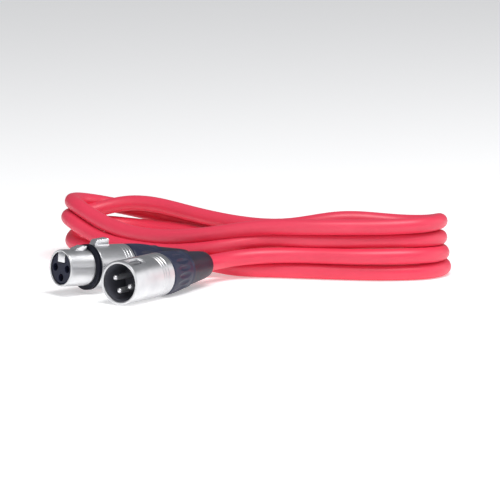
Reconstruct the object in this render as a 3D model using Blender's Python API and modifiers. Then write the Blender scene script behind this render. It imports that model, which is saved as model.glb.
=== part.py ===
"""A microphone lead: a 1.5 m cable wound into a long flat coil, with a male and a female
three-pole XLR connector on its ends, both lying in front of the coil.

Units are metres, +Z is up, and the floor is z = 0. Each connector is modelled in its own frame:
+X runs back from its mating face along its axis, and +Z points at its latch side.
"""

from math import cos, pi, radians, sin

import bmesh
import bpy
from mathutils import Vector

MM = 0.001

# ---- Layout: measured from the point on the floor under the male connector's mating face ----
ORIGIN = Vector((4.2 * MM, 33.3 * MM, 0.0))      # where the world origin lies in the layout
MALE_FACE = Vector((0.0, 0.0, 9.8 * MM))
MALE_YAW = radians(56.5)
MALE_PITCH = radians(0.55)
MALE_ROLL = radians(23.0)
FEMALE_FACE = Vector((-26.0 * MM, 23.0 * MM, 12.4 * MM))
FEMALE_YAW = radians(40.0)
FEMALE_PITCH = radians(4.0)                       # the nose is lifted a little

# ---- Fits ----
GAP = 0.3 * MM                                    # between touching faces
CABLE_RADIUS = 3.5 * MM
CORE_RADIUS = 0.75 * MM

# ---- Both connectors ----
SHELL_RADIUS = 9.5 * MM
NECK_RADIUS = 8.2 * MM                            # threaded neck, under the bushing
NECK_LENGTH = 6.0 * MM
NECK_BORE = 6.9 * MM
PIN_CIRCLE = 4.1 * MM
PIN_ANGLES = (180.0, 0.0, -90.0)                  # around the axis, from +Y
BUSHING_RADIUS = 9.45 * MM
BUSHING_REAR_RADIUS = 8.0 * MM
BUSHING_LENGTH = 16.8 * MM
BUSHING_BORE = 8.5 * MM
FLUTES = 18
FLUTE_RADIUS = 1.6 * MM
BOOT_LENGTH = 18.0 * MM
BOOT_FRONT_RADIUS = 7.8 * MM
BOOT_REAR_RADIUS = 5.9 * MM
BOOT_BORE = 3.9 * MM
CHUCK_LENGTH = 8.0 * MM
CHUCK_RADIUS = 6.4 * MM
CHUCK_BORE = 3.8 * MM
CHUCK_SLIT = 1.0 * MM

# ---- Male connector, stations along its axis ----
MALE_SHELL_LENGTH = 28.2 * MM
MALE_MOUTH_RADIUS = 8.15 * MM
MALE_LINER_RADIUS = 8.6 * MM
MALE_LIP = 1.0 * MM
CUP_DEPTH = 15.5 * MM
MALE_INSERT_REAR = 21.5 * MM
CUP_RADIUS = 7.9 * MM
PIN_RADIUS = 1.2 * MM
PIN_TIP = 1.8 * MM
PIN_REAR = 25.5 * MM
WINDOW_WIDTH = 2.8 * MM
WINDOW_START = 3.5 * MM
WINDOW_END = 11.0 * MM

# ---- Female connector, stations along its axis ----
NOSE_RADIUS = 8.0 * MM
NOSE_BORE = 7.1 * MM
RING_START = 13.0 * MM
RING_END = 15.5 * MM
RING_RADIUS = 9.9 * MM
FEMALE_SHELL_LENGTH = 34.4 * MM
FEMALE_INSERT_REAR = 22.0 * MM
FEMALE_INSERT_RADIUS = 6.8 * MM
KEYWAY_WIDTH = 5.4 * MM
KEYWAY_FLOOR = 2.2 * MM
CONTACT_RADIUS = 1.7 * MM
CONTACT_BORE = 1.25 * MM
CONTACT_FRONT = 3.2 * MM
CONTACT_REAR = 26.0 * MM
LATCH_SLOT_WIDTH = 5.4 * MM
LATCH_SLOT_START = 5.2 * MM
BUTTON_SLOT_WIDTH = 4.9 * MM
BUTTON_SLOT_END = 24.9 * MM
LATCH_PIVOT = Vector((27.6 * MM, 0.0, 5.0 * MM))
PIVOT_RADIUS = 0.6 * MM
SPRING_STATION = 19.8 * MM
SPRING_RADIUS = 1.6 * MM
SPRING_WIRE_RADIUS = 0.17 * MM

# ---- Coil: outline in plan, in the layout, and its height ----
COIL_HEIGHT = 29.8 * MM
COIL_RIGHT = Vector((122.0 * MM, 83.0 * MM))      # centre of the right-hand bends
COIL_LEFT = Vector((-9.0 * MM, 126.0 * MM))       # centre of the left-hand bends
COIL_OUTER = 22.0 * MM
COIL_INNER = 13.5 * MM

COLOURS = {
    "nickel": ((0.62, 0.61, 0.60, 1.0), 0.32, 1.0),
    "silver": ((0.80, 0.80, 0.80, 1.0), 0.20, 1.0),
    "brass": ((0.70, 0.55, 0.25, 1.0), 0.30, 1.0),
    "black_plastic": ((0.020, 0.022, 0.035, 1.0), 0.45, 0.0),
    "black_rubber": ((0.030, 0.028, 0.045, 1.0), 0.60, 0.0),
    "white_nylon": ((0.75, 0.74, 0.70, 1.0), 0.50, 0.0),
    "red_jacket": ((0.76, 0.045, 0.075, 1.0), 0.55, 0.0),
    "red_core": ((0.60, 0.03, 0.03, 1.0), 0.50, 0.0),
    "white_core": ((0.80, 0.80, 0.78, 1.0), 0.50, 0.0),
    "copper": ((0.72, 0.38, 0.22, 1.0), 0.40, 1.0),
}


# ---- Scene helpers ----

def clear_scene():
    for old in list(bpy.data.objects):
        bpy.data.objects.remove(old, do_unlink=True)


def make_collection(name):
    collection = bpy.data.collections.new(name)
    bpy.context.scene.collection.children.link(collection)
    return collection


def make_material(name):
    colour, roughness, metallic = COLOURS[name]
    material = bpy.data.materials.new(name)
    material.use_nodes = True
    shader = material.node_tree.nodes["Principled BSDF"]
    shader.inputs["Base Color"].default_value = colour
    shader.inputs["Roughness"].default_value = roughness
    shader.inputs["Metallic"].default_value = metallic
    return material


clear_scene()
PARTS = make_collection("xlr_cable_coil")
CUTTERS = make_collection("cutters")
MATERIALS = {name: make_material(name) for name in COLOURS}


def make_frame(name, face, yaw, pitch=0.0, roll=0.0):
    frame = bpy.data.objects.new(name, None)
    frame.location = face - ORIGIN
    frame.rotation_euler = (roll, pitch, yaw)
    PARTS.objects.link(frame)
    return frame


def add_object(name, data, frame, finish):
    """finish names a material, or is None for a cutter."""
    thing = bpy.data.objects.new(name, data)
    thing.parent = frame
    if finish is None:
        CUTTERS.objects.link(thing)
        thing.hide_render = True
        thing.display_type = "WIRE"
    else:
        PARTS.objects.link(thing)
        data.materials.append(MATERIALS[finish])
    return thing


def mesh_from(name, build):
    """A mesh that build(bm) draws."""
    mesh = bpy.data.meshes.new(name)
    bm = bmesh.new()
    build(bm)
    bmesh.ops.recalc_face_normals(bm, faces=bm.faces)
    bm.to_mesh(mesh)
    bm.free()
    return mesh


def turned(name, profile, frame, finish, steps=40):
    """A ring turned about the connector's axis. The profile is a closed loop of
    (station, radius): its outer side from the rear to the front, then its inner side back."""
    mesh = bpy.data.meshes.new(name)
    points = [(radius, 0.0, station) for station, radius in profile]
    edges = [(i, (i + 1) % len(points)) for i in range(len(points))]
    if profile[0][1] == 0.0 and profile[-1][1] == 0.0:
        edges.pop()
    mesh.from_pydata(points, edges, [])
    thing = add_object(name, mesh, frame, finish)
    thing.rotation_euler = (0.0, pi / 2, 0.0)
    screw = thing.modifiers.new("turn", "SCREW")
    screw.steps = steps
    screw.render_steps = steps
    screw.use_merge_vertices = True
    screw.merge_threshold = 0.00001
    screw.use_normal_calculate = False
    return thing


def block(name, low, high, frame, finish=None):
    """A box between two corners in the connector's frame."""
    low, high = Vector(low), Vector(high)

    def build(bm):
        bmesh.ops.create_cube(bm, size=1.0)
        for vert in bm.verts:
            vert.co = [(low[i] + high[i]) / 2 + vert.co[i] * (high[i] - low[i]) for i in range(3)]

    return add_object(name, mesh_from(name, build), frame, finish)


def rod(name, start, end, radius, frame, finish=None, sides=16):
    """A round rod from start to end in the connector's frame."""
    start, end = Vector(start), Vector(end)

    def build(bm):
        bmesh.ops.create_cone(bm, cap_ends=True, segments=sides, radius1=radius,
                              radius2=radius, depth=(end - start).length)

    thing = add_object(name, mesh_from(name, build), frame, finish)
    thing.location = (start + end) / 2
    thing.rotation_euler = (end - start).to_track_quat("Z", "X").to_euler()
    return thing


def combine(thing, other, operation):
    step = thing.modifiers.new(operation.lower(), "BOOLEAN")
    step.operation = operation
    step.solver = "EXACT"
    step.object = other


def cut(thing, cutter):
    combine(thing, cutter, "DIFFERENCE")


def join(thing, other):
    combine(thing, other, "UNION")


def tube(name, points, radius, finish, resolution=2):
    """A round tube along a smooth curve through the points, given in world space."""
    curve = bpy.data.curves.new(name, "CURVE")
    curve.dimensions = "3D"
    curve.bevel_depth = radius
    curve.bevel_resolution = resolution
    curve.use_fill_caps = True
    spline = curve.splines.new("POLY")
    spline.points.add(len(points) - 1)
    for target, point in zip(spline.points, points):
        target.co = (*point, 1.0)
    return add_object(name, curve, None, finish)


def smooth(points, per_span):
    """Points on a Catmull-Rom curve through the given ones."""
    ends = [2 * points[0] - points[1]] + list(points) + [2 * points[-1] - points[-2]]
    result = []
    for a, b, c, d in zip(ends, ends[1:], ends[2:], ends[3:]):
        for i in range(per_span):
            t = i / per_span
            result.append(0.5 * (2 * b + (c - a) * t + (2 * a - 5 * b + 4 * c - d) * t ** 2
                                 + (3 * b - a - 3 * c + d) * t ** 3))
    result.append(points[-1])
    return result


def pin_centre(angle, radius=PIN_CIRCLE):
    return Vector((0.0, radius * cos(radians(angle)), radius * sin(radians(angle))))


# ---- Pieces that both connectors have ----

def make_chuck(prefix, frame, front):
    """The split collet that grips the cable inside the bushing."""
    rear = front + CHUCK_LENGTH
    cone = 2.5 * MM
    chuck = turned(prefix + "_chuck", [
        (rear, CHUCK_RADIUS - 1.2 * MM), (rear - cone, CHUCK_RADIUS),
        (front, CHUCK_RADIUS), (front, CHUCK_BORE + 1.0 * MM),
        (front + 2.0 * MM, CHUCK_BORE), (rear, CHUCK_BORE)], frame, "white_nylon", 32)
    reach = CHUCK_RADIUS + MM
    for number, low, high in (
            (1, (front + 2.5 * MM, -CHUCK_SLIT / 2, -reach), (rear + MM, CHUCK_SLIT / 2, reach)),
            (2, (front + 2.5 * MM, -reach, -CHUCK_SLIT / 2), (rear + MM, reach, CHUCK_SLIT / 2))):
        cut(chuck, block(f"{prefix}_chuck_slit_{number}", low, high, frame))
    return chuck


def make_bushing(prefix, frame, front):
    """The fluted nut that screws over the shell's neck and closes the chuck."""
    rear = front + BUSHING_LENGTH
    shelf = front + NECK_LENGTH + CHUCK_LENGTH + 2 * GAP
    bushing = turned(prefix + "_bushing", [
        (rear, BUSHING_REAR_RADIUS), (front + 10.0 * MM, BUSHING_RADIUS - 0.25 * MM),
        (front + 2.0 * MM, BUSHING_RADIUS), (front + 0.5 * MM, BUSHING_RADIUS),
        (front, BUSHING_RADIUS - 0.4 * MM), (front, BUSHING_BORE),
        (front + NECK_LENGTH + 1.0 * MM, BUSHING_BORE),
        (front + NECK_LENGTH + 3.0 * MM, CHUCK_RADIUS + 0.4 * MM),
        (shelf, CHUCK_RADIUS + 0.4 * MM), (shelf, BOOT_BORE + 0.6 * MM),
        (rear, BOOT_BORE + 0.6 * MM)], frame, "black_plastic", 40)
    for number in range(FLUTES):
        angle = 360.0 * number / FLUTES
        near = pin_centre(angle, BUSHING_RADIUS + 1.1 * MM)
        far = pin_centre(angle, BUSHING_REAR_RADIUS + 1.9 * MM)
        cut(bushing, rod(f"{prefix}_flute_{number + 1}",
                         near + Vector((front + 3.5 * MM, 0.0, 0.0)),
                         far + Vector((front + 12.5 * MM, 0.0, 0.0)),
                         FLUTE_RADIUS, frame, sides=12))
    return bushing


def make_boot(prefix, frame, front):
    """The rubber bend relief behind the bushing."""
    rear = front + BOOT_LENGTH
    return turned(prefix + "_boot", [
        (rear, BOOT_REAR_RADIUS - 1.4 * MM), (rear - 0.5 * MM, BOOT_REAR_RADIUS - 0.5 * MM),
        (rear - 1.8 * MM, BOOT_REAR_RADIUS), (rear - 8.0 * MM, BOOT_REAR_RADIUS + 1.0 * MM),
        (front, BOOT_FRONT_RADIUS), (front, BOOT_BORE), (rear, BOOT_BORE)],
        frame, "black_rubber", 32)


def make_cores(prefix, frame, cups, cable_end):
    """The two insulated cores and the twisted screen, from the solder cups to the cable."""
    gap = Vector((GAP, 0.0, 0.0))
    for (role, finish), cup in zip((("screen_wire", "copper"), ("hot_core", "red_core"),
                                    ("cold_core", "white_core")), cups):
        meeting = Vector((cable_end, cup.y * 0.45, cup.z * 0.45))
        middle = (cup + meeting) / 2
        middle.y = cup.y * 0.85
        middle.z = cup.z * 0.85
        local = smooth([cup + gap, middle, meeting - gap], 3)
        place = frame.matrix_basis
        tube(f"{prefix}_{role}", [place @ point for point in local], CORE_RADIUS, finish)


# ---- Male connector ----

def make_male(frame):
    rear = MALE_SHELL_LENGTH
    seat = MALE_LINER_RADIUS + GAP / 2
    shell = turned("male_shell", [
        (rear + NECK_LENGTH, NECK_RADIUS), (rear, NECK_RADIUS), (rear, SHELL_RADIUS - 0.4 * MM),
        (rear - 0.4 * MM, SHELL_RADIUS), (0.3 * MM, SHELL_RADIUS), (0.0, SHELL_RADIUS - 0.3 * MM),
        (0.0, MALE_MOUTH_RADIUS), (MALE_LIP, MALE_MOUTH_RADIUS), (MALE_LIP, seat),
        (MALE_INSERT_REAR + GAP, seat), (MALE_INSERT_REAR + GAP, NECK_BORE),
        (rear + NECK_LENGTH, NECK_BORE)], frame, "nickel", 48)
    window = block("male_window", (WINDOW_START, -WINDOW_WIDTH / 2, CUP_RADIUS + 0.2 * MM),
                   (WINDOW_END, WINDOW_WIDTH / 2, SHELL_RADIUS + MM), frame)
    cut(shell, window)

    liner = MALE_LINER_RADIUS - GAP / 2
    insert = turned("male_insert", [
        (MALE_INSERT_REAR, 0.0), (MALE_INSERT_REAR, liner), (MALE_LIP + GAP, liner),
        (MALE_LIP + GAP, CUP_RADIUS), (CUP_DEPTH, CUP_RADIUS), (CUP_DEPTH, 0.0)],
        frame, "black_plastic", 40)

    cups = []
    for number, angle in enumerate(PIN_ANGLES, start=1):
        centre = pin_centre(angle)
        shoulder = 0.35 * MM
        pin = turned(f"male_pin_{number}", [
            (PIN_REAR, 0.0), (PIN_REAR, PIN_RADIUS), (PIN_TIP + 1.0 * MM, PIN_RADIUS),
            (PIN_TIP + shoulder, PIN_RADIUS * 0.75), (PIN_TIP, PIN_RADIUS * 0.3),
            (PIN_TIP, 0.0)], frame, "silver", 16)
        pin.location = centre
        cut(insert, rod(f"male_pin_hole_{number}", centre + Vector((CUP_DEPTH - MM, 0.0, 0.0)),
                        centre + Vector((MALE_INSERT_REAR + MM, 0.0, 0.0)),
                        PIN_RADIUS + GAP, frame))
        cups.append(centre + Vector((PIN_REAR, 0.0, 0.0)))

    # A spring tab behind the insert earths the shell.
    tab = block("male_ground_tab", (MALE_INSERT_REAR + GAP, -2.0 * MM, 5.0 * MM),
                (MALE_INSERT_REAR + 0.8 * MM, 2.0 * MM, 6.3 * MM), frame, "silver")
    join(tab, block("male_ground_tail", (MALE_INSERT_REAR + GAP, -0.8 * MM, 5.7 * MM),
                    (MALE_INSERT_REAR + 6.0 * MM, 0.8 * MM, 6.3 * MM), frame))

    chuck_front = rear + NECK_LENGTH + GAP
    make_chuck("male", frame, chuck_front)
    make_bushing("male", frame, rear + GAP)
    make_boot("male", frame, rear + 2 * GAP + BUSHING_LENGTH)
    make_cores("male", frame, cups, rear + NECK_LENGTH - MM)


# ---- Female connector ----

def make_female(frame):
    rear = FEMALE_SHELL_LENGTH
    shell = turned("female_shell", [
        (rear + NECK_LENGTH, NECK_RADIUS), (rear, NECK_RADIUS), (rear, SHELL_RADIUS - 0.4 * MM),
        (rear - 0.4 * MM, SHELL_RADIUS), (RING_END + 0.4 * MM, SHELL_RADIUS),
        (RING_END, SHELL_RADIUS - 0.4 * MM), (RING_END, NOSE_RADIUS), (0.3 * MM, NOSE_RADIUS),
        (0.0, NOSE_RADIUS - 0.3 * MM), (0.0, NOSE_BORE), (FEMALE_INSERT_REAR + GAP, NOSE_BORE),
        (FEMALE_INSERT_REAR + GAP, NECK_BORE), (rear + NECK_LENGTH, NECK_BORE)],
        frame, "nickel", 48)
    cut(shell, block("latch_slot",
                     (LATCH_SLOT_START, -LATCH_SLOT_WIDTH / 2, 4.0 * MM),
                     (RING_START, LATCH_SLOT_WIDTH / 2, SHELL_RADIUS + MM), frame))
    cut(shell, block("button_slot",
                     (RING_END + 0.3 * MM, -BUTTON_SLOT_WIDTH / 2, 5.5 * MM),
                     (BUTTON_SLOT_END, BUTTON_SLOT_WIDTH / 2, SHELL_RADIUS + MM), frame))

    turned("female_ring", [
        (RING_END - GAP, RING_RADIUS - 0.4 * MM), (RING_END - 0.7 * MM, RING_RADIUS),
        (RING_START + 0.5 * MM, RING_RADIUS), (RING_START, RING_RADIUS - 0.5 * MM),
        (RING_START, NOSE_RADIUS + GAP), (RING_END - GAP, NOSE_RADIUS + GAP)],
        frame, "black_rubber", 48)

    insert = turned("female_insert", [
        (FEMALE_INSERT_REAR, 0.0), (FEMALE_INSERT_REAR, FEMALE_INSERT_RADIUS),
        (0.5 * MM, FEMALE_INSERT_RADIUS), (0.5 * MM, 0.0)], frame, "black_plastic", 40)
    cut(insert, block("keyway", (0.0, -KEYWAY_WIDTH / 2, KEYWAY_FLOOR),
                      (FEMALE_INSERT_REAR + MM, KEYWAY_WIDTH / 2, NOSE_RADIUS), frame))
    cups = []
    for number, angle in enumerate(PIN_ANGLES, start=1):
        centre = pin_centre(angle)
        contact = turned(f"female_contact_{number}", [
            (CONTACT_REAR, 0.0), (CONTACT_REAR, CONTACT_RADIUS), (CONTACT_FRONT, CONTACT_RADIUS),
            (CONTACT_FRONT, CONTACT_BORE), (15.0 * MM, CONTACT_BORE), (15.0 * MM, 0.0)],
            frame, "brass", 16)
        contact.location = centre
        cut(insert, rod(f"contact_hole_{number}", centre, centre + Vector((30 * MM, 0.0, 0.0)),
                        CONTACT_RADIUS + GAP, frame))
        cups.append(centre + Vector((CONTACT_REAR, 0.0, 0.0)))

    # The earth contact shows as a bright tongue at the top of the face, and its foot runs
    # back along the floor of the keyway, up to the latch.
    half = KEYWAY_WIDTH / 2 - GAP
    floor = KEYWAY_FLOOR + GAP
    ground = block("female_ground_contact", (0.3 * MM, -half, floor),
                   (1.3 * MM, half, 6.4 * MM), frame, "silver")
    join(ground, block("ground_foot", (0.3 * MM, -half + 0.5 * MM, floor),
                       (5.6 * MM, half - 0.5 * MM, floor + 0.5 * MM), frame))

    make_latch(frame)
    make_chuck("female", frame, rear + NECK_LENGTH + GAP)
    make_bushing("female", frame, rear + GAP)
    make_boot("female", frame, rear + 2 * GAP + BUSHING_LENGTH)
    make_cores("female", frame, cups, rear + NECK_LENGTH - MM)


def make_latch(frame):
    """A lever along the top of the connector: a hook in front, the push button in the middle,
    and the pin that it turns on at the rear."""
    bar_half = 2.1 * MM
    bar_low = 4.6 * MM
    bar_top = 6.2 * MM
    latch = block("female_latch", (6.0 * MM, -bar_half, bar_low),
                  (LATCH_PIVOT.x + 1.8 * MM, bar_half, bar_top), frame, "silver")
    join(latch, block("latch_hook_block", (6.0 * MM, -bar_half, bar_low + 0.3 * MM),
                      (12.4 * MM, bar_half, 9.6 * MM), frame))
    ramp = block("latch_hook_ramp", (1.0 * MM, -4.0 * MM, 0.0), (9.0 * MM, 4.0 * MM, 4.0 * MM),
                 frame)
    ramp.location = (4.2 * MM, 0.0, 8.3 * MM)
    ramp.rotation_euler = (0.0, radians(-28.0), 0.0)
    cut(latch, ramp)
    button_front = RING_END + 1.0 * MM
    button_rear = BUTTON_SLOT_END - 0.5 * MM
    button_half = BUTTON_SLOT_WIDTH / 2 - 0.35 * MM
    join(latch, block("latch_button", (button_front, -button_half, 7.6 * MM),
                      (button_rear, button_half, 12.4 * MM), frame))
    join(latch, block("latch_stem", (button_front + MM, -bar_half, bar_low + 0.4 * MM),
                      (button_rear - MM, bar_half, 8.0 * MM), frame))
    for number in range(3):
        start = button_front + (1.5 + 2.0 * number) * MM
        cut(latch, block(f"latch_groove_{number + 1}", (start, -6.0 * MM, 11.9 * MM),
                         (start + 0.8 * MM, 6.0 * MM, 14.0 * MM), frame))
    side = Vector((0.0, 6.0 * MM, 0.0))
    cut(latch, rod("latch_pin_hole", LATCH_PIVOT - side, LATCH_PIVOT + side,
                   PIVOT_RADIUS + GAP / 2, frame))
    reach = Vector((0.0, 4.2 * MM, 0.0))
    rod("latch_pivot_pin", LATCH_PIVOT - reach, LATCH_PIVOT + reach, PIVOT_RADIUS, frame,
        "silver", 14)

    # A small coil spring stands on the keyway's floor and presses the button up.
    turns = 3.0
    base = KEYWAY_FLOOR + SPRING_WIRE_RADIUS + 0.05 * MM
    top = bar_low - SPRING_WIRE_RADIUS - 0.1 * MM
    count = int(turns * 10)
    helix = []
    for i in range(count + 1):
        angle = 2 * pi * turns * i / count
        helix.append(Vector((SPRING_STATION + SPRING_RADIUS * cos(angle),
                             SPRING_RADIUS * sin(angle), base + (top - base) * i / count)))
    tube("latch_spring", [frame.matrix_basis @ point for point in helix], SPRING_WIRE_RADIUS,
         "silver")


# ---- Cable ----

def arc(centre, radius, start, end, count):
    return [centre + radius * Vector((cos(radians(start + (end - start) * i / count)),
                                      sin(radians(start + (end - start) * i / count))))
            for i in range(count + 1)]


def make_coil():
    """The stacked turns of the cable, as one ring with round ends."""
    female_entry = [Vector((46.5, 79.0)) * MM, Vector((46.5, 69.2)) * MM]
    male_entry = [Vector((38.2, 65.0)) * MM, Vector((46.2, 58.8)) * MM, Vector((60.0, 62.0)) * MM]
    back = [Vector((50.0, 128.5)) * MM, Vector((24.0, 145.5)) * MM, Vector((1.5, 153.7)) * MM]
    front = [Vector((10.0, 90.0)) * MM]
    outer = (female_entry + male_entry + arc(COIL_RIGHT, COIL_OUTER, -90, 75, 10) + back
             + arc(COIL_LEFT, COIL_OUTER, 105, 235, 8) + front)
    inner_front = [Vector((20.0, 97.5)) * MM, Vector((60.0, 80.0)) * MM]
    inner_back = [Vector((60.0, 107.5)) * MM, Vector((20.0, 129.0)) * MM]
    inner = (arc(COIL_RIGHT, COIL_INNER, -90, 75, 8) + inner_back
             + arc(COIL_LEFT, COIL_INNER, 62, 235, 8) + inner_front)
    curve = bpy.data.curves.new("cable_coil", "CURVE")
    curve.dimensions = "2D"
    curve.fill_mode = "BOTH"
    curve.extrude = COIL_HEIGHT / 2
    for outline in (outer, inner):
        spline = curve.splines.new("POLY")
        spline.points.add(len(outline) - 1)
        spline.use_cyclic_u = True
        for target, point in zip(spline.points, outline):
            target.co = (point.x - ORIGIN.x, point.y - ORIGIN.y, 0.0, 1.0)
    coil = add_object("cable_coil", curve, None, "red_jacket")
    coil.location.z = COIL_HEIGHT / 2


def make_tail(name, frame, stations, through):
    """A stretch of cable from inside a connector, straight along its axis past the stations
    and then through the given points of the layout, to the coil."""
    points = [frame.matrix_basis @ Vector((station * MM, 0.0, 0.0)) for station in stations]
    points += [Vector(point) * MM - ORIGIN for point in through]
    tube(name, smooth(points, 4), CABLE_RADIUS, "red_jacket", 3)


def make_all():
    male = make_frame("male_frame", MALE_FACE, MALE_YAW, MALE_PITCH, MALE_ROLL)
    female = make_frame("female_frame", FEMALE_FACE, FEMALE_YAW, pitch=FEMALE_PITCH)
    make_male(male)
    make_female(female)
    make_coil()
    make_tail("cable_male_tail", male, (33.5, 45.0, 58.0, 68.0), [(41.7, 61.4, 9.2)])
    make_tail("cable_female_tail", female, (39.7, 52.0, 64.0, 73.0),
              [(38.5, 73.0, 5.0), (45.6, 74.0, 4.1)])


make_all()
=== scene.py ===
"""A red microphone lead, wound in a long flat coil, with both of its connectors in front of it.

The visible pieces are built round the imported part, in its frame: +Z up and the floor at z = 0.
Sizes are in metres, apart from the cable's places. Each connector is built in its own
frame: +X runs back from its mating face along its axis, and +Z points at its latch side.
"""

from math import cos, pi, radians, sin, sqrt

import bmesh
import bpy
import numpy as np
from mathutils import Euler, Matrix, Vector


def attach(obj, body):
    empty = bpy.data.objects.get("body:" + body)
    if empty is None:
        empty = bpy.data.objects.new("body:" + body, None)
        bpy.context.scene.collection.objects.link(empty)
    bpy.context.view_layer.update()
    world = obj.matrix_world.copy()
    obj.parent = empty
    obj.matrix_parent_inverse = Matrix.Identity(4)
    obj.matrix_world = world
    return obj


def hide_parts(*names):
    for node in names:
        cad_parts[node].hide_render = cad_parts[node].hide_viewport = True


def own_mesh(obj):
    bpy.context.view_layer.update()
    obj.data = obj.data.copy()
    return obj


MM = 0.001

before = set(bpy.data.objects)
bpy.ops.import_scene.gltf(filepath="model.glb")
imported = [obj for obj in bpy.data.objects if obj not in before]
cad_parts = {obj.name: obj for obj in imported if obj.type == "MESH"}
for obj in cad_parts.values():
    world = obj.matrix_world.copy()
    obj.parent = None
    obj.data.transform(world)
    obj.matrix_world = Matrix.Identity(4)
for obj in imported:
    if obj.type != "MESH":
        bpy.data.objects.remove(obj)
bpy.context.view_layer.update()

# ---- Where the connectors lie, measured from the floor under the male mating face ----
ORIGIN = Vector((4.2, 33.3, 0.0)) * MM            # the part's origin in that layout
MALE = Matrix.LocRotScale(Vector((0.0, 0.0, 9.8)) * MM - ORIGIN,
                          Euler((radians(23.0), radians(0.55), radians(56.5))), None)
FEMALE = Matrix.LocRotScale(Vector((-26.0, 23.0, 12.4)) * MM - ORIGIN,
                            Euler((0.0, radians(4.0), radians(40.0))), None)

# ---- Sizes of the connectors ----
SHELL_RADIUS = 9.5 * MM
NECK_RADIUS = 8.2 * MM
NECK_LENGTH = 6.0 * MM
NECK_BORE = 6.9 * MM
THREAD_PITCH = 1.5 * MM
THREAD_DEPTH = 0.45 * MM
PIN_CIRCLE = 4.1 * MM
PIN_ANGLES = (180.0, 0.0, -90.0)                  # around the axis, from +Y
BUSHING_RADIUS = 9.45 * MM
BUSHING_REAR_RADIUS = 8.0 * MM
BUSHING_LENGTH = 16.8 * MM
BUSHING_BORE = 8.5 * MM
FLUTES = 18
BOOT_LENGTH = 18.0 * MM
BOOT_FRONT_RADIUS = 7.85 * MM
BOOT_REAR_RADIUS = 5.9 * MM
BOOT_BORE = 3.8 * MM
GAP = 0.3 * MM                                    # between two pieces that butt
SHELL_SIDES = 160

MALE_REAR = 28.2 * MM
MALE_MOUTH_RADIUS = 8.15 * MM
MALE_BORE_RADIUS = 8.45 * MM
MALE_WALL = 21.8 * MM                             # the wall in the shell that the cup stops at
TRACK_FLOOR_RADIUS = 8.75 * MM
CUP_RADIUS = 7.9 * MM
CUP_DEPTH = 15.5 * MM
PIN_RADIUS = 1.2 * MM
PIN_TIP = 1.8 * MM

FEMALE_REAR = 34.4 * MM
FEMALE_WALL = 22.3 * MM                           # the wall that the insert stops at
NOSE_RADIUS = 8.0 * MM
NOSE_BORE = 7.1 * MM
RING_START = 13.0 * MM
RING_END = 15.5 * MM
RING_RADIUS = 9.9 * MM
INSERT_RADIUS = 6.8 * MM
KEYWAY_HALF = 2.7 * MM
KEYWAY_FLOOR = 2.2 * MM
CONTACT_RADIUS = 1.7 * MM
CONTACT_BORE = 1.25 * MM
LATCH_HALF = 2.1 * MM
LATCH_PIVOT = Vector((27.6, 0.0, 5.0)) * MM
PIVOT_HOLE_RADIUS = 0.75 * MM
BUTTON_FRONT = 16.5 * MM
BUTTON_REAR = 24.3 * MM
BUTTON_BUMPS = 5
SPRING_STATION = 19.8 * MM
SPRING_RADIUS = 1.6 * MM
SPRING_WIRE_RADIUS = 0.17 * MM
SPRING_TURNS = 3.0

# ---- The cable ----
CABLE_RADIUS = 3.5 * MM
FLOOR_TURN = 3.6                                  # height of a strand on the floor, in mm

# ---- The lights, in watts, and the glow of the world and the floor ----
TOP_LIGHT = 12.0
FRONT_LIGHT = 5.5
SIDE_LIGHT = 6.2
WORLD_LIGHT = 0.24
FLOOR_GLOW = 0.34

SHARP = radians(32.0)                             # edges sharper than this stay crisp


# ---- Materials ----

def node(tree, kind, **inputs):
    """A shader node with these values in its sockets; _ in a socket's name stands for a space."""
    made = tree.nodes.new(kind)
    for name, value in inputs.items():
        made.inputs[name.replace("_", " ")].default_value = value
    return made


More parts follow.
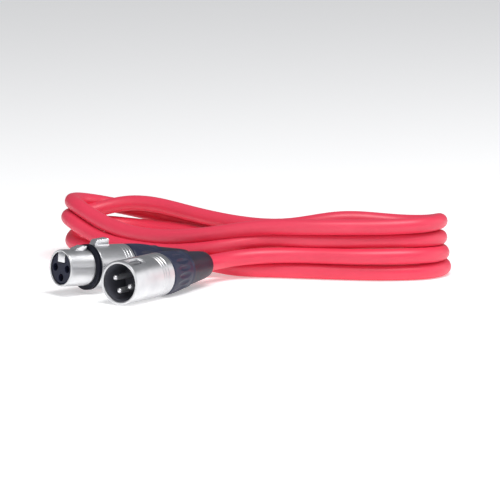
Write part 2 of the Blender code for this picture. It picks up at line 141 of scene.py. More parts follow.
def make_material(part_slot, colour, worn, roughness, metallic=0.0, grain=1500.0, stretch=1.0,
                  bump=0.15, height=0.02, spread=0.05, shine=0.5):
    """A finish with fine grain in its relief and soft patches in its colour and roughness.

    worn is the colour of the patches, and spread how far they change the roughness. grain is the
    grain's count per metre, stretch how much longer it is across the local X axis, bump its
    strength and height its depth in mm. shine is the specular level.
    """
    material = bpy.data.materials.new("look of " + part_slot)
    material["part_slot"] = part_slot
    material.use_nodes = True
    tree = material.node_tree
    shader = tree.nodes["Principled BSDF"]
    shader.inputs["Metallic"].default_value = metallic
    shader.inputs["Specular IOR Level"].default_value = shine
    place = node(tree, "ShaderNodeTexCoord")
    scaling = node(tree, "ShaderNodeMapping", Scale=(1.0, 1.0 / stretch, 1.0 / stretch))
    tree.links.new(place.outputs["Object"], scaling.inputs["Vector"])

    fine = node(tree, "ShaderNodeTexNoise", Scale=grain, Detail=4.0, Roughness=0.6)
    tree.links.new(scaling.outputs["Vector"], fine.inputs["Vector"])
    patches = node(tree, "ShaderNodeTexNoise", Scale=grain / 14.0, Detail=3.0, Roughness=0.5)
    tree.links.new(place.outputs["Object"], patches.inputs["Vector"])

    relief = node(tree, "ShaderNodeBump", Strength=bump, Distance=height * MM)
    tree.links.new(fine.outputs["Fac"], relief.inputs["Height"])
    tree.links.new(relief.outputs["Normal"], shader.inputs["Normal"])

    gloss = node(tree, "ShaderNodeMapRange", From_Min=0.3, From_Max=0.7,
                 To_Min=roughness - spread, To_Max=roughness + spread)
    tree.links.new(patches.outputs["Fac"], gloss.inputs["Value"])
    tree.links.new(gloss.outputs["Result"], shader.inputs["Roughness"])

    tint = tree.nodes.new("ShaderNodeMix")
    tint.data_type = "RGBA"
    tint.inputs["A"].default_value = (*colour, 1.0)
    tint.inputs["B"].default_value = (*worn, 1.0)
    share = node(tree, "ShaderNodeMapRange", From_Min=0.35, From_Max=0.75, To_Min=0.0, To_Max=1.0)
    tree.links.new(patches.outputs["Fac"], share.inputs["Value"])
    tree.links.new(share.outputs["Result"], tint.inputs["Factor"])
    tree.links.new(tint.outputs["Result"], shader.inputs["Base Color"])
    return material


NICKEL = make_material("nickel_shell", (0.74, 0.74, 0.75), (0.62, 0.62, 0.64), 0.33, 1.0,
                       bump=0.8, height=0.06, spread=0.06)
LATCH = make_material("bright_latch", (0.86, 0.86, 0.88), (0.76, 0.76, 0.78), 0.30, 1.0,
                      grain=2600.0, bump=0.30, height=0.03)
CHROME = make_material("bright_contact", (0.88, 0.88, 0.89), (0.80, 0.80, 0.82), 0.16, 1.0,
                       grain=1800.0, bump=0.08, height=0.01, spread=0.04)
PIN = make_material("bright_contact", (0.88, 0.88, 0.89), (0.80, 0.80, 0.82), 0.28, 0.8,
                    grain=1800.0, bump=0.08, height=0.01, spread=0.04)
GOLD = make_material("gold_contact", (0.83, 0.60, 0.26), (0.72, 0.50, 0.20), 0.22, 1.0,
                     grain=1800.0, bump=0.08, height=0.01)
STEEL = make_material("spring_steel", (0.55, 0.55, 0.57), (0.42, 0.42, 0.44), 0.30, 1.0,
                      grain=3000.0, stretch=4.0, height=0.01, spread=0.06)
PLASTIC = make_material("black_plastic", (0.018, 0.022, 0.052), (0.026, 0.031, 0.068), 0.42,
                        bump=0.20, spread=0.06, shine=0.4)
# A lighter copy of the black plastic for the male insert's cup: painted light, standing in for the
# light that can't reach into the deep cup.
CUP_PLASTIC_PAINTED_LIT = make_material("black_plastic", (0.085, 0.086, 0.105), (0.100, 0.102, 0.125), 0.34,
                    bump=0.10)
FACE = make_material("black_plastic", (0.010, 0.012, 0.030), (0.014, 0.017, 0.040), 0.45,
                     shine=0.3)
RUBBER = make_material("black_rubber", (0.012, 0.013, 0.026), (0.018, 0.019, 0.038), 0.44,
                       grain=1700.0, bump=0.30, spread=0.06)
SEAL = make_material("black_rubber", (0.004, 0.005, 0.012), (0.008, 0.009, 0.018), 0.50,
                     grain=1700.0, bump=0.20, spread=0.06, shine=0.2)
NYLON = make_material("white_nylon", (0.76, 0.75, 0.71), (0.66, 0.65, 0.60), 0.48,
                      grain=1200.0, bump=0.20, spread=0.06)
JACKET = make_material("red_jacket", (0.82, 0.044, 0.098), (0.77, 0.038, 0.086), 0.42,
                       grain=1100.0, bump=0.25, shine=0.6)
RED_CORE = make_material("red_core", (0.55, 0.02, 0.02), (0.45, 0.015, 0.015), 0.45)
WHITE_CORE = make_material("white_core", (0.80, 0.80, 0.78), (0.70, 0.70, 0.66), 0.45)
COPPER = make_material("copper", (0.78, 0.38, 0.20), (0.60, 0.26, 0.13), 0.32, 1.0,
                       grain=2500.0, stretch=0.2, bump=0.5, height=0.06, spread=0.08)


# ---- Building pieces ----

def add_object(name, data):
    thing = bpy.data.objects.new(name, data)
    bpy.context.scene.collection.objects.link(thing)
    return thing


def add_mesh(name, verts, faces, place):
    mesh = bpy.data.meshes.new(name)
    mesh.from_pydata(verts, [], faces)
    thing = add_object(name, mesh)
    thing.matrix_world = place
    return thing


def add_solid(name, verts, faces, place):
    """A closed mesh, with every face turned outward."""
    thing = add_mesh(name, verts, faces, place)
    bm = bmesh.new()
    bm.from_mesh(thing.data)
    bmesh.ops.remove_doubles(bm, verts=bm.verts, dist=0.002 * MM)
    bmesh.ops.recalc_face_normals(bm, faces=bm.faces)
    bm.to_mesh(thing.data)
    bm.free()
    return thing


def evenly(low, high, count):
    """The ends of count equal steps from low to high."""
    return [low + (high - low) * i / count for i in range(count + 1)]


def ring(station, radii):
    """Points spaced evenly round the axis, one for each radius."""
    points = []
    for i, radius in enumerate(radii):
        angle = 2 * pi * i / len(radii)
        points.append((station, radius * cos(angle), radius * sin(angle)))
    return points


def band(near, far, count):
    """The faces between two rings of count points, which start at points near and far."""
    faces = []
    for i in range(count):
        j = (i + 1) % count
        faces.append((near + i, near + j, far + j, far + i))
    return faces


def turned(name, profile, place, segments=128):
    """A solid turned about the axis. The profile is a closed loop of (station, radius)."""
    verts, faces, rings = [], [], []
    for station, radius in profile:
        count = segments if radius > 0.0 else 1   # on the axis, one point is the whole ring
        rings.append(range(len(verts), len(verts) + count))
        verts += ring(station, [radius] * count)
    for near, far in zip(rings, rings[1:] + rings[:1]):
        if len(near) == 1 and len(far) == 1:
            continue
        for i in range(segments):
            j = (i + 1) % segments
            corners = [near[i % len(near)], near[j % len(near)], far[j % len(far)],
                       far[i % len(far)]]
            faces.append(list(dict.fromkeys(corners)))
    return add_solid(name, verts, faces, place)


def rippled(name, stations, radius_at, inner, place, segments=288):
    """A ring whose outer radius is radius_at(station, angle) and whose bore is inner."""
    angles = evenly(0.0, 2 * pi, segments)[:-1]
    verts, faces = [], []
    for station in stations:
        verts += ring(station, [radius_at(station, angle) for angle in angles])
    for station in (stations[-1], stations[0]):
        verts += ring(station, [inner] * segments)
    rows = len(stations) + 2
    for row in range(rows):
        faces += band(row * segments, (row + 1) % rows * segments, segments)
    return add_solid(name, verts, faces, place)


def slab(name, outline, low, high, place, across="Z"):
    """An outline drawn out from low to high: in X and Y along Z, or in X and Z along Y."""
    verts = []
    for level in (low, high):
        for u, v in outline:
            verts.append((u, v, level) if across == "Z" else (u, level, v))
    count = len(outline)
    faces = [tuple(range(count)), tuple(range(count, 2 * count))] + band(0, count, count)
    return add_solid(name, verts, faces, place)


def rectangle(low, high):
    """The outline of a rectangle between two opposite corners."""
    return [(low[0], low[1]), (high[0], low[1]), (high[0], high[1]), (low[0], high[1])]


def rounded_slot(start, end, half, front_round=True):
    """The outline of a slot along X, round at its rear end and, if asked, in front."""
    outline = []
    for angle in evenly(-pi / 2, pi / 2, 12):
        outline.append((end - half + half * cos(angle), half * sin(angle)))
    if front_round:
        for angle in evenly(pi / 2, 3 * pi / 2, 12):
            outline.append((start + half + half * cos(angle), half * sin(angle)))
    else:
        outline += [(start, half), (start, -half)]
    return outline


def rod(name, start, end, radius, place, sides=32):
    """A round rod between two points of the connector's frame."""
    start, end = Vector(start), Vector(end)
    turn = (end - start).to_track_quat("X", "Z").to_matrix().to_4x4()
    length = (end - start).length
    return turned(name, [(0.0, 0.0), (0.0, radius), (length, radius), (length, 0.0)],
                  place @ Matrix.Translation(start) @ turn, sides)


def replace_mesh(thing):
    """Makes the modifiers' result the piece's own mesh."""
    bpy.context.view_layer.update()
    graph = bpy.context.evaluated_depsgraph_get()
    mesh = bpy.data.meshes.new_from_object(thing.evaluated_get(graph))
    thing.modifiers.clear()
    thing.data = mesh


def carve(thing, cutters):
    """Cuts the cutters out of the piece, and removes them."""
    for cutter in cutters:
        step = thing.modifiers.new("carve", "BOOLEAN")
        step.operation = "DIFFERENCE"
        step.solver = "EXACT"
        step.object = cutter
    replace_mesh(thing)
    for cutter in cutters:
        bpy.data.objects.remove(cutter)


def add_bevel(thing, width, angle, segments):
    """Rounds the edges sharper than the angle, as a modifier."""
    step = thing.modifiers.new("soft edges", "BEVEL")
    step.width = width
    step.segments = segments
    step.limit_method = "ANGLE"
    step.angle_limit = radians(angle)


def soften(thing, width, angle=35.0, segments=2):
    """Rounds the edges sharper than the angle, in the piece's own mesh."""
    add_bevel(thing, width, angle, segments)
    replace_mesh(thing)


def merge(thing, *others):
    """Adds other pieces' meshes to this one's."""
    bm = bmesh.new()
    bm.from_mesh(thing.data)
    bpy.context.view_layer.update()
    for other in others:
        mesh = other.data
        mesh.transform(thing.matrix_world.inverted() @ other.matrix_world)
        bm.from_mesh(mesh)
        bpy.data.objects.remove(other)
    bm.to_mesh(thing.data)
    bm.free()


def finish(thing, material, body, nodes, sharp=SHARP):
    """Gives the piece its finish, puts it on its body and hides the part's nodes that it stands for.
    """
    if thing.type == "MESH":
        thing.data.polygons.foreach_set("use_smooth", [True] * len(thing.data.polygons))
        thing.data.set_sharp_from_angle(angle=sharp)
    thing.data.materials.clear()
    thing.data.materials.append(material)
    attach(thing, body)
    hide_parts(*nodes)


def pin_centre(angle):
    """Where a pin's axis, or its socket's, meets the mating face."""
    return Vector((0.0, PIN_CIRCLE * cos(radians(angle)), PIN_CIRCLE * sin(radians(angle))))


# ---- The cable: three turns wound one way, and half a turn along the floor ----

def bend(x, y, radius, angles):
    """Places on an arc round (x, y), at these angles in degrees."""
    return [(x + radius * cos(radians(a)), y + radius * sin(radians(a))) for a in angles]


# One turn in plan, in mm of the layout: along the front, round the right-hand bend, along the
# back, round the left-hand bend and along the front again.
RIGHT_BEND = bend(122.0, 83.0, 18.0, (-90.0, -45.0, 0.0, 45.0, 90.0))
TURN = [(60.0, 75.5), (78.0, 70.0), (99.0, 66.0), *RIGHT_BEND,
        (96.0, 103.5), (74.0, 107.0), (50.0, 117.0), (25.0, 130.0),
        *bend(-9.0, 126.0, 18.0, (70.0, 115.0, 160.0, 205.0, 245.0)),
        (2.0, 97.0), (20.0, 87.5), (40.0, 79.5)]

# How high the cable passes each place of the turn, in mm, and how far outside it. The first
# turn starts one place late, where the cable comes in from the male connector. The third ends
# one place early, where it goes down to the floor.
HEIGHTS = (
    (10.6, 10.8, 11.1, 10.7, 9.9, 9.2, 8.9, 8.6, 8.9,
     10.5, 14.6, 19.8, 23.6, 26.0, 25.6, 22.0, 16.3, 15.8, 18.6),
    (21.9, 23.0, 23.6, 24.2, 24.5, 23.9, 21.3, 20.6, 21.6, 18.2,
     17.6, 20.9, 23.0, 20.2, 19.2, 19.0, 14.7, 10.4, 9.8, 12.4),
    (15.8, 16.6, 16.9, 17.4, 17.2, 16.6, 14.4, 14.2, 14.6, 11.6,
     9.5, 11.9, 13.0, 13.4, 9.6, 8.4, 7.5, 6.2, 4.7))
OUTSIDE = (
    (1.2, 1.8, 1.8, 1.2, 0.7, 2.0, 3.2, 3.5, 7.0,
     7.6, 8.0, 7.4, 4.5, 0.0, -2.0, -1.0, 0.0, 0.0, -0.8),
    (0.0, 0.0, 0.3, 0.3, 0.0, -0.3, 0.6, 1.0, 0.8, 0.0,
     0.5, 1.0, 0.0, -1.0, 0.3, 0.6, 1.0, 2.5, 2.2, 1.3),
    (-1.2, -2.0, -2.3, -2.3, -1.5, -0.3, -0.5, 0.0, 0.0, 0.0,
     0.5, 1.0, 1.0, 0.0, -1.0, -1.2, 0.0, -2.0, -5.0))

# Near a connector the cable is straight, at these stations of its axis in mm. Then it goes on
# through the points that follow, in mm of the layout.
MALE_STATIONS = (33.5, 45.0, 58.0, 68.0)
MALE_START = ((42.6, 62.6, 9.2), (49.0, 67.0, 9.6), (57.5, 69.4, 10.1))
FEMALE_STATIONS = (39.7, 52.0, 64.0, 70.0, 75.5)
FEMALE_START = ((38.7, 74.0, 5.9), (45.6, 74.8, 4.4), (55.0, 73.8, 3.7), (66.0, 72.4, 3.6),
                (82.0, 69.2, FLOOR_TURN), (99.0, 66.0, FLOOR_TURN))
FLOOR_BACK = ((40.0, 102.0, FLOOR_TURN), (57.0, 109.5, FLOOR_TURN), (74.0, 107.5, FLOOR_TURN),
              (96.0, 103.5, FLOOR_TURN))
FLOOR_BEND_SHIFT = (0.0, 0.8, 1.5, 0.8, 0.0)


def layout_point(x, y, z):
    """A place of the layout, in mm, as a point of the part's frame."""
    return Vector((x, y, z)) * MM - ORIGIN


def along(place, stations):
    """Points on a connector's axis, at these stations in mm."""
    return [place @ Vector((station * MM, 0.0, 0.0)) for station in stations]


def wound_turn(number):
    """The points of one turn, each at its own height and shift."""
    points = []
    first = 1 if number == 0 else 0
    for i, (height, shift) in enumerate(zip(HEIGHTS[number], OUTSIDE[number]), start=first):
        before, after = TURN[i - 1], TURN[(i + 1) % len(TURN)]
        run = Vector((after[0] - before[0], after[1] - before[1])).normalized()
        points.append(layout_point(TURN[i][0] + shift * run.y, TURN[i][1] - shift * run.x, height))
    return points


def cable_points():
    """The route, from the male connector round the coil to the female connector."""
    points = along(MALE, MALE_STATIONS) + [layout_point(*p) for p in MALE_START]
    for number in range(len(HEIGHTS)):
        points += wound_turn(number)
    points += [layout_point(*p) for p in FLOOR_BACK]
    for (x, y), shift in reversed(list(zip(RIGHT_BEND, FLOOR_BEND_SHIFT))):
        points.append(layout_point(x + shift, y, FLOOR_TURN))
    points += [layout_point(*p) for p in reversed(FEMALE_START)]
    return points + list(reversed(along(FEMALE, FEMALE_STATIONS)))


def eased(points, step):
    """A smooth line through the points, which bends as a springy strip does."""
    fixed = np.array([list(p) for p in points])
    at = np.concatenate([[0.0], np.cumsum(np.linalg.norm(np.diff(fixed, axis=0), axis=1))])
    span = np.diff(at)
    count = len(fixed)
    system = np.eye(count)
    load = np.zeros((count, 3))
    for i in range(1, count - 1):
        system[i, i - 1:i + 2] = span[i - 1], 2 * (span[i - 1] + span[i]), span[i]
        load[i] = 6 * ((fixed[i + 1] - fixed[i]) / span[i] - (fixed[i] - fixed[i - 1]) / span[i - 1])
    curl = np.linalg.solve(system, load)
    places = np.linspace(0.0, at[-1], int(at[-1] / step) + 1)
    k = np.clip(np.searchsorted(at, places, side="right") - 1, 0, count - 2)
    left = (at[k + 1] - places)[:, None]
    right = (places - at[k])[:, None]
    wide = span[k][:, None]
    line = (curl[k] * left ** 3 + curl[k + 1] * right ** 3) / (6 * wide)
    line += (fixed[k] / wide - curl[k] * wide / 6) * left
    line += (fixed[k + 1] / wide - curl[k + 1] * wide / 6) * right
    return line


def make_cable():
    """The whole lead as one curve, and the points that it runs through."""
    line = eased(cable_points(), 2.5 * MM)
    curve = bpy.data.curves.new("cable", "CURVE")
    curve.dimensions = "3D"
    curve.bevel_depth = CABLE_RADIUS
    curve.bevel_resolution = 7
    curve.use_fill_caps = True
    spline = curve.splines.new("POLY")
    spline.points.add(len(line) - 1)
    for target, point in zip(spline.points, line):
        target.co = (*point, 1.0)
    spline.use_smooth = True
    cable = add_object("cable", curve)
    finish(cable, JACKET, "lead", ("cable_male_tail", "cable_coil", "cable_female_tail"))
    return cable, line


# ---- Pieces of both connectors ----

def make_thread(name, place, start):
    """The neck with its screw thread, a ridge that winds round it."""
    end = start + NECK_LENGTH
    fade = 0.6 * MM                               # the thread dies out over this at each end

    def radius_at(station, angle):
        turn = ((station - start) / THREAD_PITCH - angle / (2 * pi)) % 1.0
        depth = THREAD_DEPTH * min(1.0, 1.6 * abs(2 * turn - 1))
        share = max(0.0, min(1.0, (station - start) / fade, (end - station) / fade))
        return NECK_RADIUS - THREAD_DEPTH + (THREAD_DEPTH - depth) * share

    return rippled(name, evenly(start, end, 60), radius_at, NECK_BORE, place, 96)


def make_bushing(prefix, place, front):
    """The nut behind the shell: a smooth collar, a row of scooped flutes and a smooth end."""
    rear = front + BUSHING_LENGTH
    collar = 4.0 * MM                             # how long it is straight in front
    front_edge, front_drop = 0.4 * MM, 0.35 * MM  # the rounded edges' length and depth
    rear_edge, rear_drop = 0.5 * MM, 0.45 * MM
    flute_start = front + 3.4 * MM
    flute_end = front + 12.6 * MM
    flute_depth = 0.62 * MM
    flute_radius = 1.5 * MM

    def plain(station):
        """The radius between the flutes."""
        x = station - front
        if x < front_edge:
            return BUSHING_RADIUS - front_drop + front_drop * sqrt(max(0.0, x / front_edge))
        if x < collar:
            return BUSHING_RADIUS
        share = (x - collar) / (BUSHING_LENGTH - collar)
        radius = BUSHING_RADIUS - (BUSHING_RADIUS - BUSHING_REAR_RADIUS) * share ** 1.7
        left = rear - station
        if left < rear_edge:
            radius -= rear_drop * (1 - left / rear_edge) ** 2
        return radius

    def radius_at(station, angle):
        radius = plain(station)
        share = (station - flute_start) / (flute_end - flute_start)
        if not 0.0 < share < 1.0:
            return radius
        pitch = 2 * pi / FLUTES
        sideways = ((angle + pitch / 2) % pitch - pitch / 2) * radius
        depth = flute_depth * sin(pi * share) ** 0.8 - sideways ** 2 / (2 * flute_radius)
        return radius - max(0.0, depth)

    stations = [front, front + 0.1 * MM, front + 0.2 * MM, front + front_edge, front + 1.5 * MM,
                front + 2.8 * MM, *evenly(flute_start, flute_end, 30), rear - 3.0 * MM,
                rear - 1.6 * MM, rear - rear_edge, rear - 0.25 * MM, rear]
    bushing = rippled(prefix + "_bushing_nut", stations, radius_at, BUSHING_BORE - 0.2 * MM, place)
    finish(bushing, PLASTIC, prefix + "_nut", (prefix + "_bushing",), radians(50.0))


def make_boot(prefix, place, front):
    """The rubber bend relief: a smooth cone with a rounded rear end."""
    rear = front + BOOT_LENGTH
    slope = (BOOT_FRONT_RADIUS - BOOT_REAR_RADIUS) / BOOT_LENGTH
    profile = [(front, BOOT_BORE), (front, BOOT_FRONT_RADIUS - 0.5 * MM)]
    profile.append((front + 0.3 * MM, BOOT_FRONT_RADIUS))
    for station in evenly(front, rear - 2.0 * MM, 12)[1:-1]:
        profile.append((station, BOOT_FRONT_RADIUS - slope * (station - front)))
    lip = 1.6 * MM                                # the radius of its rounded rear edge
    for angle in evenly(0.0, pi / 2, 8):
        profile.append((rear - lip + lip * sin(angle), BOOT_REAR_RADIUS - lip + lip * cos(angle)))
    profile += [(rear, BOOT_BORE + 0.3 * MM), (rear - 0.3 * MM, BOOT_BORE)]
    boot = turned(prefix + "_boot_sleeve", profile, place)
    finish(boot, RUBBER, prefix + "_nut", (prefix + "_boot",), radians(50.0))


def shell_rear(rear, grooves):
    """The profile from the rear of the shell forward: its edge, then grooves round it."""
    profile = [(rear + NECK_LENGTH, NECK_BORE), (rear + NECK_LENGTH, NECK_RADIUS - THREAD_DEPTH),
               (rear, NECK_RADIUS - THREAD_DEPTH), (rear, SHELL_RADIUS - 0.55 * MM),
               (rear - 0.15 * MM, SHELL_RADIUS - 0.25 * MM), (rear - 0.45 * MM, SHELL_RADIUS)]
    depth, half = 0.14 * MM, 0.3 * MM
    for station in grooves:
        profile += [(station + half, SHELL_RADIUS), (station + half * 0.4, SHELL_RADIUS - depth),
                    (station - half * 0.4, SHELL_RADIUS - depth), (station - half, SHELL_RADIUS)]
    return profile


# ---- Male connector ----

def make_male_shell():
    """The shell, with its latch track, and with the thread on the neck behind it."""
    profile = shell_rear(MALE_REAR, (23.8 * MM, 21.7 * MM, 20.0 * MM))
    profile += [(12.0 * MM, SHELL_RADIUS), (0.5 * MM, SHELL_RADIUS),
                (0.15 * MM, SHELL_RADIUS - 0.12 * MM), (0.0, SHELL_RADIUS - 0.4 * MM),
                (0.0, MALE_MOUTH_RADIUS + 0.35 * MM), (0.12 * MM, MALE_MOUTH_RADIUS + 0.1 * MM),
                (0.4 * MM, MALE_MOUTH_RADIUS), (1.0 * MM, MALE_MOUTH_RADIUS),
                (1.0 * MM, MALE_BORE_RADIUS), (MALE_WALL, MALE_BORE_RADIUS),
                (MALE_WALL, NECK_BORE)]
    shell = turned("male_shell_skin", profile, MALE, SHELL_SIDES)
    # The latch track is a shallow channel with a round end. The window through its floor is a
    # slot in the shape of a U, round a tongue.
    channel = slab("channel", rounded_slot(1.3 * MM, 12.4 * MM, 2.9 * MM, False),
                   8.0 * MM, 11.0 * MM, MALE)
    core = turned("channel_floor", [(-1.0 * MM, 0.0), (-1.0 * MM, TRACK_FLOOR_RADIUS),
                                    (20.0 * MM, TRACK_FLOOR_RADIUS), (20.0 * MM, 0.0)],
                  MALE, SHELL_SIDES)
    carve(channel, [core])
    window = slab("window", rounded_slot(3.8 * MM, 10.8 * MM, 1.3 * MM), 7.5 * MM, 11.0 * MM,
                  MALE)
    tongue = slab("tongue", rectangle((0.0, -0.8 * MM), (9.8 * MM, 0.8 * MM)), 7.0 * MM,
                  12.0 * MM, MALE)
    carve(window, [tongue])
    carve(shell, [channel, window])
    soften(shell, 0.12 * MM, 40.0)
    merge(shell, make_thread("male_thread", MALE, MALE_REAR))
    finish(shell, NICKEL, "lead", ("male_shell",))


def make_male_insert():
    """The black cup that holds the pins, with a collar round each and a key at the top."""
    rear = MALE_WALL - GAP
    outer = MALE_BORE_RADIUS - 0.1 * MM
    profile = [(rear, 0.0), (rear, outer), (1.2 * MM, outer), (1.2 * MM, CUP_RADIUS + 0.1 * MM),
               (1.6 * MM, CUP_RADIUS), (CUP_DEPTH - 0.5 * MM, CUP_RADIUS - 0.1 * MM),
               (CUP_DEPTH, CUP_RADIUS - 0.6 * MM), (CUP_DEPTH, 0.0)]
    insert = turned("male_insert_cup", profile, MALE)
    extras = []
    for number, angle in enumerate(PIN_ANGLES):
        centre = pin_centre(angle)
        extras.append(turned(f"collar_{number}", [
            (CUP_DEPTH + 0.1 * MM, 0.0), (CUP_DEPTH + 0.1 * MM, 2.1 * MM),
            (CUP_DEPTH - 0.5 * MM, 2.1 * MM), (CUP_DEPTH - 0.7 * MM, 1.9 * MM),
            (CUP_DEPTH - 0.7 * MM, 0.0)], MALE @ Matrix.Translation(centre), 40))
    key = slab("key", rectangle((6.0 * MM, -2.2 * MM), (CUP_DEPTH + 0.1 * MM, 2.2 * MM)),
               6.7 * MM, CUP_RADIUS + 0.1 * MM, MALE)
    soften(key, 0.2 * MM)
    merge(insert, key, *extras)
    # The cup takes the lighter black plastic, painted light for its shaded inside.
    finish(insert, CUP_PLASTIC_PAINTED_LIT, "lead", ("male_insert",))


def make_male_pins():
    """Three pins with round tips."""
    for number, angle in enumerate(PIN_ANGLES, start=1):
        profile = [(25.5 * MM, 0.0), (25.5 * MM, PIN_RADIUS)]
        for turn in evenly(0.0, pi / 2, 12)[:-1]:
            profile.append((PIN_TIP + PIN_RADIUS * (1 - sin(turn)), PIN_RADIUS * cos(turn)))
        profile.append((PIN_TIP, 0.0))
        place = MALE @ Matrix.Translation(pin_centre(angle))
        pin = turned(f"male_pin_rod_{number}", profile, place, 48)
        finish(pin, PIN, "lead", (f"male_pin_{number}",))


# ---- Female connector ----

def make_female_shell():
    """The shell and its nose, with slots for the latch, and with the thread on the neck."""
    profile = shell_rear(FEMALE_REAR, (32.4 * MM, 30.8 * MM, 29.2 * MM))
    profile += [(RING_END + 0.5 * MM, SHELL_RADIUS), (RING_END, SHELL_RADIUS - 0.4 * MM),
                (RING_END, NOSE_RADIUS), (0.55 * MM, NOSE_RADIUS),
                (0.15 * MM, NOSE_RADIUS - 0.12 * MM), (0.0, NOSE_RADIUS - 0.35 * MM),
                (0.0, NOSE_BORE + 0.2 * MM), (0.2 * MM, NOSE_BORE), (FEMALE_WALL, NOSE_BORE),
                (FEMALE_WALL, NECK_BORE)]
    shell = turned("female_shell_skin", profile, FEMALE, SHELL_SIDES)
    hook_slot = slab("hook_slot", rectangle((5.0 * MM, -2.75 * MM), (13.2 * MM, 2.75 * MM)),
                     4.0 * MM, 10.0 * MM, FEMALE)
    button_slot = slab("button_slot", rectangle((15.8 * MM, -2.45 * MM), (24.9 * MM, 2.45 * MM)),
                       5.5 * MM, 11.0 * MM, FEMALE)
    carve(shell, [hook_slot, button_slot])
    soften(shell, 0.12 * MM, 40.0)
    merge(shell, make_thread("female_thread", FEMALE, FEMALE_REAR))
    finish(shell, NICKEL, "lead", ("female_shell",))


def make_female_ring():
    """The black sealing ring, with a groove round its middle."""
    low = NOSE_RADIUS + 0.1 * MM
    middle = (RING_START + RING_END) / 2
    profile = [(RING_END, low), (RING_END, RING_RADIUS - 0.4 * MM),
               (RING_END - 0.3 * MM, RING_RADIUS), (middle + 0.35 * MM, RING_RADIUS),
               (middle + 0.15 * MM, RING_RADIUS - 0.45 * MM),
               (middle - 0.15 * MM, RING_RADIUS - 0.45 * MM), (middle - 0.35 * MM, RING_RADIUS),
               (RING_START + 0.3 * MM, RING_RADIUS), (RING_START, RING_RADIUS - 0.5 * MM),
               (RING_START, low)]
    finish(turned("female_seal", profile, FEMALE), SEAL, "lead", ("female_ring",))


def make_female_insert():
    """The black block that holds the sockets, with a keyway along its top."""
    rear = FEMALE_WALL - GAP
    profile = [(rear, 0.0), (rear, INSERT_RADIUS), (0.9 * MM, INSERT_RADIUS),
               (0.55 * MM, INSERT_RADIUS - 0.3 * MM), (0.55 * MM, 0.0)]
    insert = turned("female_insert_block", profile, FEMALE)
    cutters = [slab("keyway", rectangle((-1.0 * MM, -KEYWAY_HALF), (23.0 * MM, KEYWAY_HALF)),
                    KEYWAY_FLOOR, 9.0 * MM, FEMALE)]
    for angle in PIN_ANGLES:
        centre = pin_centre(angle)
        cutters.append(rod("hole", centre - Vector((MM, 0.0, 0.0)),
                           centre + Vector((23.0 * MM, 0.0, 0.0)), CONTACT_RADIUS, FEMALE, 40))
    carve(insert, cutters)
    soften(insert, 0.1 * MM, 40.0)
    finish(insert, FACE, "lead", ("female_insert",))


def make_female_contacts():
    """Three sockets, which sit back in their holes."""
    outer = CONTACT_RADIUS - 0.05 * MM
    for number, angle in enumerate(PIN_ANGLES, start=1):
        profile = [(26.0 * MM, 0.0), (26.0 * MM, outer), (3.6 * MM, outer),
                   (3.2 * MM, outer - 0.15 * MM), (3.2 * MM, CONTACT_BORE + 0.1 * MM),
                   (3.6 * MM, CONTACT_BORE), (15.0 * MM, CONTACT_BORE), (15.0 * MM, 0.0)]
        place = FEMALE @ Matrix.Translation(pin_centre(angle))
        contact = turned(f"female_socket_{number}", profile, place, 48)
        finish(contact, GOLD, "lead", (f"female_contact_{number}",))


def make_female_tongue():
    """The earth contact: a bright tongue at the top of the face, with a foot behind it."""
    low = KEYWAY_FLOOR + 0.3 * MM
    tongue = slab("female_tongue", rectangle((0.25 * MM, low), (1.25 * MM, 7.0 * MM)),
                  -2.4 * MM, 2.4 * MM, FEMALE, "Y")
    foot = slab("tongue_foot", rectangle((0.5 * MM, -1.9 * MM), (5.6 * MM, 1.9 * MM)),
                low, low + 0.5 * MM, FEMALE)
    soften(tongue, 0.25 * MM)
    soften(foot, 0.1 * MM)
    merge(tongue, foot)
    finish(tongue, LATCH, "lead", ("female_ground_contact",))


def make_latch():
    """A lever: the hook in front, the serrated push button, and the bar that joins them."""
    # Its side view in mm: the hook with a notch in its top, then the bar, with a block on it
    # that carries the button.
    side = [(6.0, 4.6), (6.0, 7.6), (6.5, 8.5), (8.2, 8.9), (9.3, 9.35), (10.0, 9.6), (10.6, 9.55),
            (11.0, 9.2), (11.6, 9.5), (12.3, 9.4), (12.3, 6.2), (17.5, 6.2), (17.5, 8.0),
            (23.4, 8.0), (23.4, 6.2), (29.4, 6.2), (29.4, 4.6)]
    latch = slab("female_latch_lever", [(x * MM, z * MM) for x, z in side], -LATCH_HALF,
                 LATCH_HALF, FEMALE, "Y")
    soften(latch, 0.2 * MM)
    reach = Vector((0.0, 6.0 * MM, 0.0))
    carve(latch, [rod("pin_hole", LATCH_PIVOT - reach, LATCH_PIVOT + reach, PIVOT_HOLE_RADIUS,
                      FEMALE)])

    # The button's side view has bumps along its sloping top and two down its rear.
    front, rear, bump = BUTTON_FRONT, BUTTON_REAR, 0.3 * MM
    outline = [(front + 0.2 * MM, 8.4 * MM), (front + 0.2 * MM, 10.2 * MM),
               (front + 0.7 * MM, 11.2 * MM)]
    for share in evenly(0.0, 1.0, BUTTON_BUMPS * 8):
        outline.append((front + 1.2 * MM + (rear - front - 1.5 * MM) * share,
                        (11.6 + 0.7 * share) * MM + bump * abs(sin(pi * BUTTON_BUMPS * share))))
    for share in evenly(0.0, 1.0, 16)[1:]:
        outline.append((rear - bump + bump * abs(sin(2 * pi * share)), (12.3 - 2.3 * share) * MM))
    outline += [(rear - 0.5 * MM, 9.8 * MM), (rear - 0.5 * MM, 8.4 * MM)]
    button = slab("button", outline, -2.0 * MM, 2.0 * MM, FEMALE, "Y")
    soften(button, 0.2 * MM, 50.0, 3)
    skirt = slab("button_skirt", rectangle((front, -2.2 * MM), (rear + 0.1 * MM, 2.2 * MM)),
                 7.6 * MM, 9.9 * MM, FEMALE)
    soften(skirt, 0.25 * MM)
    merge(latch, button, skirt)
    finish(latch, LATCH, "latch", ("female_latch",))


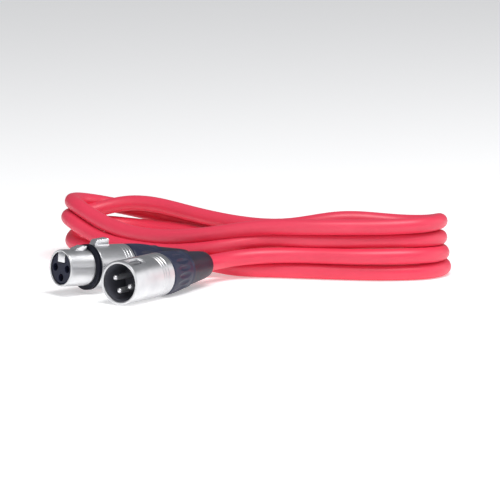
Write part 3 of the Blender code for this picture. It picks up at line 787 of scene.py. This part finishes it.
def make_latch_spring():
    """A wire helix under the button. The real spring shortens as the button goes down; this mesh is
    made at one length.
    """
    sides, steps = 10, 120
    low, high = KEYWAY_FLOOR + 0.22 * MM, 4.33 * MM
    verts, faces = [], []
    for share in evenly(0.0, 1.0, steps):
        angle = 2 * pi * SPRING_TURNS * share
        out = Vector((cos(angle), sin(angle), 0.0))
        centre = Vector((SPRING_STATION, 0.0, low + (high - low) * share)) + SPRING_RADIUS * out
        for _, sideways, upward in ring(0.0, [SPRING_WIRE_RADIUS] * sides):
            verts.append(centre + out * sideways + Vector((0.0, 0.0, upward)))
    for i in range(steps):
        faces += band(i * sides, (i + 1) * sides, sides)
    faces += [tuple(range(sides)), tuple(range(steps * sides, (steps + 1) * sides))]
    spring = add_solid("female_latch_spring", verts, faces, FEMALE)
    finish(spring, STEEL, "lead", ("latch_spring",))
    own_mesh(spring)


# ---- Pieces that keep the part's own shape ----

def carry_over():
    """The hidden pieces show the part's own meshes, with soft edges and a real finish."""
    own = {"male_chuck": NYLON, "female_chuck": NYLON, "male_ground_tab": CHROME,
           "latch_pivot_pin": CHROME, "male_screen_wire": COPPER, "female_screen_wire": COPPER,
           "male_hot_core": RED_CORE, "female_hot_core": RED_CORE,
           "male_cold_core": WHITE_CORE, "female_cold_core": WHITE_CORE}
    for name, material in own.items():
        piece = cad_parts[name]
        piece.data.materials.clear()
        piece.data.materials.append(material)
        add_bevel(piece, 0.1 * MM, 50.0, 2)


# ---- Floor, light and camera ----

def make_floor():
    """A plain pale floor, which glows a little so that it stays white."""
    material = bpy.data.materials.new("floor")
    material.use_nodes = True
    shader = material.node_tree.nodes["Principled BSDF"]
    shader.inputs["Base Color"].default_value = (0.92, 0.92, 0.92, 1.0)
    shader.inputs["Roughness"].default_value = 0.7
    shader.inputs["Emission Color"].default_value = (1.0, 1.0, 1.0, 1.0)
    shader.inputs["Emission Strength"].default_value = FLOOR_GLOW
    half = 6.0
    floor = add_mesh("floor", [(-half, -half, 0.0), (half, -half, 0.0), (half, half, 0.0),
                               (-half, half, 0.0)], [(0, 1, 2, 3)], Matrix.Identity(4))
    floor.data.materials.append(material)


def area_light(name, place, target, size, power):
    """A soft panel of light that faces the target."""
    data = bpy.data.lights.new(name, "AREA")
    data.shape = "RECTANGLE"
    data.size, data.size_y = size
    data.energy = power
    light = add_object(name, data)
    light.location = place
    light.rotation_euler = (Vector(target) - Vector(place)).to_track_quat("-Z", "Y").to_euler()


def make_light():
    """A panel at the right that the metal mirrors, one in front and one above."""
    world = bpy.data.worlds.new("studio")
    world.use_nodes = True
    background = world.node_tree.nodes["Background"]
    background.inputs["Color"].default_value = (0.93, 0.95, 1.0, 1.0)
    background.inputs["Strength"].default_value = WORLD_LIGHT
    bpy.context.scene.world = world
    bpy.context.scene.view_settings.view_transform = "Standard"
    area_light("right", (1.5, 0.1, 0.42), (0.0, 0.0, 0.1), (1.9, 0.9), SIDE_LIGHT)
    area_light("front", (-0.8, -1.6, 0.7), (0.0, 0.0, 0.0), (1.6, 1.0), FRONT_LIGHT)
    area_light("key", (0.25, -0.45, 1.1), (0.05, 0.05, 0.0), (0.9, 0.5), TOP_LIGHT)


def make_camera():
    """A long lens 1.5 m in front of the connectors, which looks down by 9 degrees."""
    data = bpy.data.cameras.new("camera")
    data.lens = 255.7
    data.clip_start = 0.05
    data.clip_end = 20.0
    camera = add_object("camera", data)
    camera.location = layout_point(55.3, -1479.3, 258.2)
    camera.rotation_euler = (radians(81.0), 0.0, 0.0)
    bpy.context.scene.camera = camera


make_camera()
make_light()
make_floor()
cable, cable_line = make_cable()
make_male_shell()
make_male_insert()
make_male_pins()
make_bushing("male", MALE, MALE_REAR + GAP)
make_boot("male", MALE, MALE_REAR + 2 * GAP + BUSHING_LENGTH)
make_female_shell()
make_female_ring()
make_female_insert()
make_female_contacts()
make_female_tongue()
make_latch()
make_latch_spring()
make_bushing("female", FEMALE, FEMALE_REAR + GAP)
make_boot("female", FEMALE, FEMALE_REAR + 2 * GAP + BUSHING_LENGTH)
carry_over()
list(cable_line[0])
